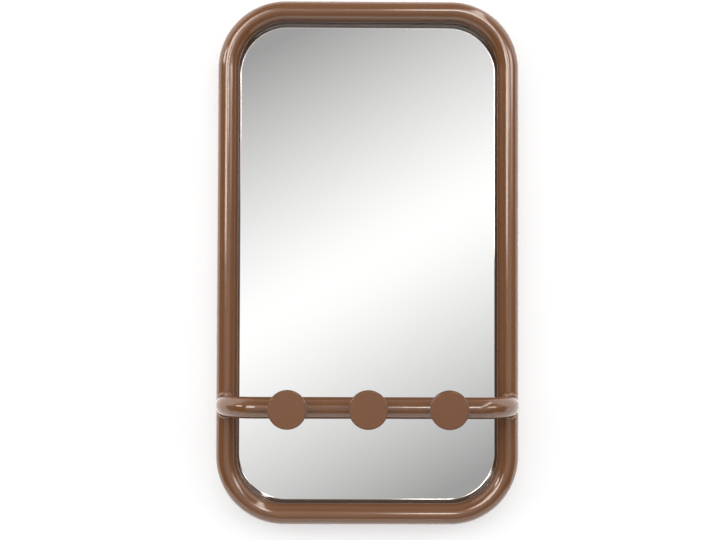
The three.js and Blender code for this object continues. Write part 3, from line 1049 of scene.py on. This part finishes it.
# %% Screws
SCREW_RADIUS = 2 * MM
SCREW_HEAD_RADIUS = 3.8 * MM
SCREW_HEAD_HEIGHT = 1.6 * MM
SCREW_TIP_Y = board_low.y - 4.4 * MM
SCREW_TIP_ROUND = 0.4 * MM
SCREW_SIDES = 40
RECESS_REACH = 2.3 * MM
RECESS_WIDTH = 0.8 * MM
RECESS_DEPTH = 1.3 * MM
RECESS_FOOT = 0.35
RECESS_OVERLAP = 0.4 * MM


def cross_cutter(x, z, top_y):
    """A prism over the twelve corners of a plus sign, drawn in at its foot."""
    arm, half = RECESS_REACH, RECESS_WIDTH / 2
    quarter = np.array([[arm, -half], [arm, half], [half, half]])
    turn = [np.array([[c, s], [-s, c]]) for c, s in ((1, 0), (0, 1), (-1, 0), (0, -1))]
    plus = np.concatenate([quarter @ m for m in turn])
    levels = [(RECESS_FOOT, top_y - RECESS_DEPTH), (1.0, top_y + RECESS_OVERLAP)]
    rings = [
        np.stack([x + k * plus[:, 0], np.full(len(plus), y), z + k * plus[:, 1]], axis=-1)
        for k, y in levels
    ]
    return Skin().solid(np.stack(rings), inward=True).piece("recess_cutter", [zinc])


def screw(name, x, z, profile, top_y):
    skin = turned_solid(profile, SCREW_SIDES, (x, 0.0, z))
    return carved(skin.piece(name, [zinc], sharp=30), cross_cutter(x, z, top_y))


raised_top = board_high.y + SCREW_HEAD_HEIGHT
raised_profile = rounded_profile([
    (AXIS, SCREW_TIP_Y, 0),
    (SCREW_RADIUS, SCREW_TIP_Y, SCREW_TIP_ROUND),
    (SCREW_RADIUS, board_high.y, 0),
    (SCREW_HEAD_RADIUS, board_high.y, 0.15 * MM),
    (SCREW_HEAD_RADIUS, raised_top, 1.2 * MM),
    (AXIS, raised_top, 0),
], steps=5)
for name, (x, z) in board_fixings.items():
    made = screw(f"raised_screw_{name}", x, z, raised_profile, raised_top)
    stands_for(made, "zinc_steel", f"screw_{name}")

flush_profile = rounded_profile([
    (AXIS, SCREW_TIP_Y, 0),
    (SCREW_RADIUS, SCREW_TIP_Y, SCREW_TIP_ROUND),
    (SCREW_RADIUS, SCREW_RADIUS - SCREW_HEAD_RADIUS, 0),
    (SCREW_HEAD_RADIUS, 0, 0.12 * MM),
    (AXIS, 0, 0),
], steps=4)
for name, (x, z) in hanger_fixings.items():
    made = screw(f"flush_screw_{name}", x, z, flush_profile, 0.0)
    stands_for(made, "zinc_steel", f"screw_{name}")

# %% Hanger plates
HANGER_CORNER = 4 * MM
HANGER_BEVEL = 0.2 * MM
SCREW_GAP = 0.3 * MM  # round a shank, and round a countersunk head


def hanger_plate(name, middle_x):
    low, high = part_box(name)
    half_width = (high.x - low.x) / 2
    half_height = (high.z - low.z) / 2
    outline, _ = rounded_rectangle(half_width, half_height, HANGER_CORNER, 10)
    outline = outline + [middle_x, (low.z + high.z) / 2]
    made = sheet_with_holes(
        f"keyhole_{name}", [outline, keyhole(middle_x)], low.y, high.y, HANGER_BEVEL, [zinc],
    )
    head = SCREW_HEAD_RADIUS + SCREW_GAP
    shank = SCREW_RADIUS + SCREW_GAP
    cone_start = high.y - (head - shank)
    cone = [(shank, low.y - MM), (shank, cone_start), (head, high.y), (head, high.y + MM)]
    for _, side in SIDES:
        place = (middle_x + side * HANGER_SCREW_OFFSET, 0.0, TOP_Z)
        carved(made, turned_solid(cone, SCREW_SIDES, place).piece("sink_cutter", [zinc]))
    made.data.set_sharp_from_angle(angle=math.radians(SHEET_SHARP))
    return made


for name, side in SIDES:
    node = f"hanger_plate_{name}"
    stands_for(hanger_plate(node, side * HANGER_X), "zinc_steel", node)

# %% Bosses and pads
BOSS_RADIUS = 4 * MM
BOSS_CHAMFER = 0.3 * MM
BOSS_DEPTH = 0.7 * TUBE_WALL
PAD_ROUND = 0.5 * MM


def boss(x, z):
    """A short tube, welded on the back of the frame. Its front end is sunk into the wall of
    the frame's tube."""
    bore = SCREW_RADIUS + SCREW_GAP
    front = FRAME_Y + TUBE_RADIUS - BOSS_DEPTH
    back = board_low.y
    profile = [
        (bore, front),
        (BOSS_RADIUS, front),
        (BOSS_RADIUS, back - BOSS_CHAMFER),
        (BOSS_RADIUS - BOSS_CHAMFER, back),
        (bore + BOSS_CHAMFER, back),
        (bore, back - BOSS_CHAMFER),
    ]
    skin = Skin()
    skin.grid(turned_grid(profile, 48, (x, 0.0, z)), wrap_rows=True, inward=True)
    return skin


for name, (x, z) in fixings.items():
    made = boss(x, z).piece(f"threaded_boss_{name}", [tube_paint], sharp=30)
    stands_for(made, "frame_paint", f"boss_{name}")

for name, _ in SIDES:
    low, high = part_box(f"wall_pad_{name}")
    radius = (high.x - low.x) / 2
    pad_profile = rounded_profile([
        (AXIS, low.y, 0),
        (radius, low.y, 0),
        (radius, high.y, PAD_ROUND),
        (AXIS, high.y, 0),
    ], steps=5)
    centre = ((low.x + high.x) / 2, 0.0, (low.z + high.z) / 2)
    pad = turned_solid(pad_profile, 64, centre).piece(f"pad_{name}", [rubber], sharp=30)
    stands_for(pad, "black_rubber", f"wall_pad_{name}")

for name in THIRDS:
    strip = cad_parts[f"tape_strip_{name}"]
    strip.data.materials.clear()
    strip.data.materials.append(tape)

# %% [markdown]
# ## The studio
#
# The mirror hangs on a white wall that curves into a pale floor. The wall is there only for
# whoever stands in front of it: seen from behind it lets the view through, and it also lets
# light through to the back of the board, which nearly touches it.

# %% Wall and floor
WALL_Y = 0.5 * MM
FLOOR_Z = -1.45
SWEEP_RADIUS = 0.35
SWEEP_HALF_WIDTH = 2.0
WALL_TOP = 2.6
FLOOR_FRONT = -1.05
TOUCHING = 9 * MM
PAPER_WHITE = 0.9
FLOOR_WHITE = 0.45
PAPER_SEEN = 0.58
PAPER_GLOW = 0.51
PAPER_GLOSS_GAIN = 1.4


def sweep_profile(steps=24):
    """Down the wall, round a quarter circle, and forward along the floor."""
    turn = np.linspace(0, np.pi / 2, steps)
    y = WALL_Y - SWEEP_RADIUS * (1 - np.cos(turn))
    z = FLOOR_Z + SWEEP_RADIUS * (1 - np.sin(turn))
    curve = np.stack([y, z], axis=-1)
    return np.concatenate([[[WALL_Y, WALL_TOP]], curve, [[FLOOR_FRONT, FLOOR_Z]]])


def studio_white():
    """White paper, darker where it is the floor. For the camera it also glows a little, so that
    it stays white with a soft shadow on it, and the paint's gloss shows it brighter than it is.
    It is open air from behind, and for rays that start on something within 9 mm of it."""
    material, wires = new_material("studio_white")
    behind = wires.node("ShaderNodeNewGeometry", output="Backfacing")
    seen = wires.light_path("Is Camera Ray")
    in_paint = wires.light_path("Is Glossy Ray") * (1 - wires.light_path("Is Transmission Ray"))
    own = PAPER_WHITE + (FLOOR_WHITE - PAPER_WHITE) * wires.facing("Z")
    white = own + (PAPER_SEEN - own) * seen + PAPER_GLOSS_GAIN * in_paint
    colour = wires.node("ShaderNodeCombineColor", inputs=dict.fromkeys(range(3), white))
    paper = wires.node("ShaderNodeBsdfDiffuse", inputs={"Color": colour})
    lit = wires.node("ShaderNodeAddShader", inputs={0: paper, 1: wires.glow(PAPER_GLOW * seen)})
    open_air = wires.node("ShaderNodeBsdfTransparent")
    gone = behind.at_least(wires.light_path("Ray Length") < TOUCHING)
    wires.surface(wires.node("ShaderNodeMixShader", inputs={0: gone, 1: lit, 2: open_air}))
    return material


profile = sweep_profile()
count = len(profile)
sweep_points = [(side * SWEEP_HALF_WIDTH, y, z) for _, side in SIDES for y, z in profile]
sweep_faces = [(i, i + 1, i + 1 + count, i + count) for i in range(count - 1)]
sweep_mesh = bpy.data.meshes.new("studio_sweep")
sweep_mesh.from_pydata(sweep_points, [], sweep_faces)
sweep_mesh.materials.append(studio_white())
sweep_mesh.shade_smooth()
sweep = in_scene("studio_sweep", sweep_mesh)
print("the wall's front looks along", [round(v, 2) for v in sweep_mesh.polygons[0].normal])

# %% [markdown]
# A strip lamp runs above the camera. It is near enough that each level tube shows it at a
# height of its own, so it is a real card, seen in the paint's gloss and in nothing else.

# %% Strip lamp
STRIP_PLACE = Vector((0.0, -1.75, 0.5))
STRIP_LENGTH = 0.62
STRIP_HEIGHT = 0.2
STRIP_LIGHT = 2.2


def glow_in_gloss():
    """Open air that adds its light to rays that bounced off paint, and none to those that came
    out of glass."""
    material, wires = new_material("strip_glow")
    glow = wires.glow(STRIP_LIGHT * (1 - wires.light_path("Is Transmission Ray")))
    open_air = wires.node("ShaderNodeBsdfTransparent")
    wires.surface(wires.node("ShaderNodeAddShader", inputs={0: glow, 1: open_air}))
    return material


strip_corners = [
    STRIP_PLACE + Vector((x * STRIP_LENGTH / 2, 0.0, z * STRIP_HEIGHT / 2))
    for x, z in ((1, -1), (-1, -1), (-1, 1), (1, 1))
]
strip_mesh = bpy.data.meshes.new("strip_lamp")
strip_mesh.from_pydata(strip_corners, [], [(0, 1, 2, 3)])
strip_mesh.materials.append(glow_in_gloss())
strip_lamp = in_scene("strip_lamp", strip_mesh)
strip_lamp.visible_camera = False
strip_lamp.visible_diffuse = False
strip_lamp.visible_shadow = False

# %% [markdown]
# ## The room
#
# Gloss is nothing but a picture of the room, so the room is painted too, in plain soft spots of
# light and dark round the viewer: white walls far out to the sides, above and below, dark
# patches at the left, at the right and above, and two paler ones near straight ahead. Five
# softboxes, one of them small and bright, and a long tube lamp stand out in it. They draw the
# bright lines along the frame.
#
# A flat mirror shows only the few degrees behind the camera. There the picture is a soft bright
# band that runs from lower left to upper right and fades to grey on both sides. Only rays that
# come out of the glass see that band, and only within a cone round straight ahead. Further out
# they see an even light grey tent. Light that bounced off paint sees the room and its lamps.

# %% World
BAND_SLOPE = 0.553
BAND_OFFSET = 0.0219
BAND_ROUND = 0.0333
BAND_FALL = 3.5
BAND_PEAK = 1.045
BAND_LOWEST = 0.36
FAR_WALLS = 2.9
NEAR_ROOM = 0.5
NEAR_CONE = 68.0
FILL_LEVEL = 0.5
FILL_FROM_ABOVE = 0.35
FILL_FROM_LEFT = 0.15
MIRROR_CONE = 20.0
ROOM_IN_MIRROR = 0.4
TENT_LEVEL = 0.6
TENT_RISE = 0.06
BACK_ROOM = 0.75
BACK_RISE = 0.35
SPOTS = [
    # azimuth, elevation, radius, light
    (0.0, 84.0, 24.0, 0.7),
    (0.0, -38.0, 26.0, 0.5),
    (-4.0, -5.0, 15.0, 1.1),
    (16.0, 5.0, 13.0, 1.4),
    (-56.0, -10.0, 28.0, 0.10),
    (-80.0, -2.0, 11.0, 0.3),
    (52.0, -30.0, 28.0, 0.16),
    (69.0, 0.0, 15.0, 0.25),
    (-20.0, 50.0, 18.0, 0.35),
]


def towards(azimuth, elevation):
    """The direction at an azimuth from -Y towards +X and an elevation, both in degrees."""
    a, e = math.radians(azimuth), math.radians(elevation)
    return Vector((math.sin(a) * math.cos(e), -math.cos(a) * math.cos(e), math.sin(e)))


def cone(wires, direction, azimuth, elevation, radius, soft=9.0):
    """1 within a radius of a direction, and 0 outside it, with a soft rim, in degrees."""
    nearness = wires.dot(direction, towards(azimuth, elevation))
    rim = [math.cos(math.radians(radius + side * soft)) for side in (1, -1)]
    return wires.smooth_step(nearness, *rim)


def panel(wires, direction, centre, along, half_width, half_height, soft=0.8):
    """1 on a flat rectangle that is seen about a centre, with its width along a direction and
    its half sizes in degrees: both |side|, |rise| / ahead are under their tangents."""
    ahead, side, rise = [
        wires.dot(direction, axis) for axis in (centre, along, centre.cross(along))
    ]
    inside = ahead > 0.05
    for reach, half in ((side, half_width), (rise, half_height)):
        edges = [math.tan(math.radians(half + way * soft)) for way in (1, -1)]
        inside = inside * wires.smooth_step(abs(reach / ahead.at_least(0.05)), *edges)
    return inside


def softbox(azimuth, elevation, half_width, half_height, light):
    """A panel with level edges."""
    centre = towards(azimuth, elevation)
    along = Vector((-centre.y, centre.x, 0.0)).normalized()
    return centre, along, half_width, half_height, light


def long_tube(first, last, half_width, light):
    """A panel that runs between two directions of (azimuth, elevation)."""
    start, end = towards(*first), towards(*last)
    half_length = math.degrees(start.angle(end)) / 2
    along = (end - start).normalized()
    return (start + end).normalized(), along, half_length, half_width, light


PANELS = [
    softbox(-17.0, 14.0, 10.5, 11.5, 12.0),
    softbox(-49.0, 18.0, 8.5, 4.5, 14.0),
    softbox(36.0, 15.0, 11.5, 5.0, 10.0),
    softbox(36.0, 8.0, 10.0, 3.0, 3.0),
    softbox(4.8, 12.0, 2.1, 4.5, 22.0),
    long_tube((7.5, 16.0), (62.0, 60.5), 3.5, 10.0),
]
PANEL_WHITE = (1.0, 0.93, 0.86, 1.0)
ROOM_WHITE = (1.0, 1.0, 1.0, 1.0)


def studio_world():
    """Light by direction. The mirror's band is peak - fall * (sqrt(q^2 + round^2) - round), with
    q the distance across it, where side = x / -y and rise = z / -y."""
    world = bpy.data.worlds.new("studio")
    world.use_nodes = True
    wires = Wires(world.node_tree)
    direction = wires.node("ShaderNodeTexCoord", output="Generated")
    x, y, z = [wires.along(direction, axis) for axis in "XYZ"]
    ahead = (-1.0 * y).at_least(0.02)
    q = BAND_SLOPE * x / ahead - z / ahead + BAND_OFFSET
    slide = q.math("SQRT", q * q + BAND_ROUND ** 2) - BAND_ROUND
    band = (BAND_PEAK - BAND_FALL * slide).at_least(BAND_LOWEST)

    near = cone(wires, direction, 0.0, 0.0, NEAR_CONE, soft=18.0)
    room = FAR_WALLS + (NEAR_ROOM - FAR_WALLS) * near
    for azimuth, elevation, radius, light in SPOTS:
        spot = cone(wires, direction, azimuth, elevation, radius)
        room = room + spot * (light - room)

    behind = wires.smooth_step(y, 0.0, 0.25)
    room = room + behind * (BACK_ROOM + BACK_RISE * z - room)

    lamps = 0.0 * x
    for *place, light in PANELS:
        lamps = lamps + light * panel(wires, direction, *place)

    camera, glossy, transmitted = [
        wires.light_path(f"Is {name} Ray") for name in ("Camera", "Glossy", "Transmission")
    ]
    fill = FILL_LEVEL + FILL_FROM_ABOVE * z - FILL_FROM_LEFT * x
    gloss = room + lamps + transmitted * (ROOM_IN_MIRROR * room - room - lamps)
    bounced = glossy * gloss + (1 - glossy) * fill
    in_mirror = transmitted * (wires.light_path("Glossy Depth") < 1.5)
    ahead_only = cone(wires, direction, 0.0, 0.0, MIRROR_CONE, soft=5.0)
    tent = TENT_LEVEL + TENT_RISE * z
    mirror_view = tent + ahead_only * (band - tent)
    lit = bounced + in_mirror * (mirror_view - bounced)
    strength = camera + (1 - camera) * lit
    in_paint = glossy * (1 - transmitted)
    colour = wires.mix_colour(in_paint * (lamps > 0.5), ROOM_WHITE, PANEL_WHITE)
    shader = wires.node("ShaderNodeBackground", inputs={"Color": colour, "Strength": strength})
    wires.node("ShaderNodeOutputWorld", inputs={"Surface": shader})
    return world


bpy.context.scene.world = studio_world()

# %% [markdown]
# ## The lamps
#
# The bright softboxes above are pictures of lamps, seen only in the gloss. The even light
# itself comes from four large dim lamps, above the camera, at the left, at the right and
# behind, which the gloss in turn doesn't show.


# %% Lamps
def area_lamp(name, place, width, height, light):
    """A rectangular lamp that looks at the mirror's middle and shines on diffuse surfaces only.
    Light is the brightness of its surface, so its power is light * area * pi."""
    lamp = bpy.data.lights.new(name, "AREA")
    lamp.shape = "RECTANGLE"
    lamp.size = width
    lamp.size_y = height
    lamp.energy = light * width * height * math.pi
    made = in_scene(name, lamp)
    made.location = place
    made.rotation_euler = Vector(place).to_track_quat("Z", "Y").to_euler()
    made.visible_camera = False
    made.visible_glossy = False
    made.visible_transmission = False


area_lamp("above", (0.2, -2.5, 1.8), 3.2, 2.2, 1.3)
area_lamp("left", (-2.4, -1.5, 0.5), 1.2, 1.8, 3.1)
area_lamp("right", (2.4, -1.5, 0.5), 1.2, 1.8, 3.1)
area_lamp("back", (-0.6, 2.7, 1.4), 3.0, 2.2, 1.7)
print("lamps:", len(bpy.data.lights))
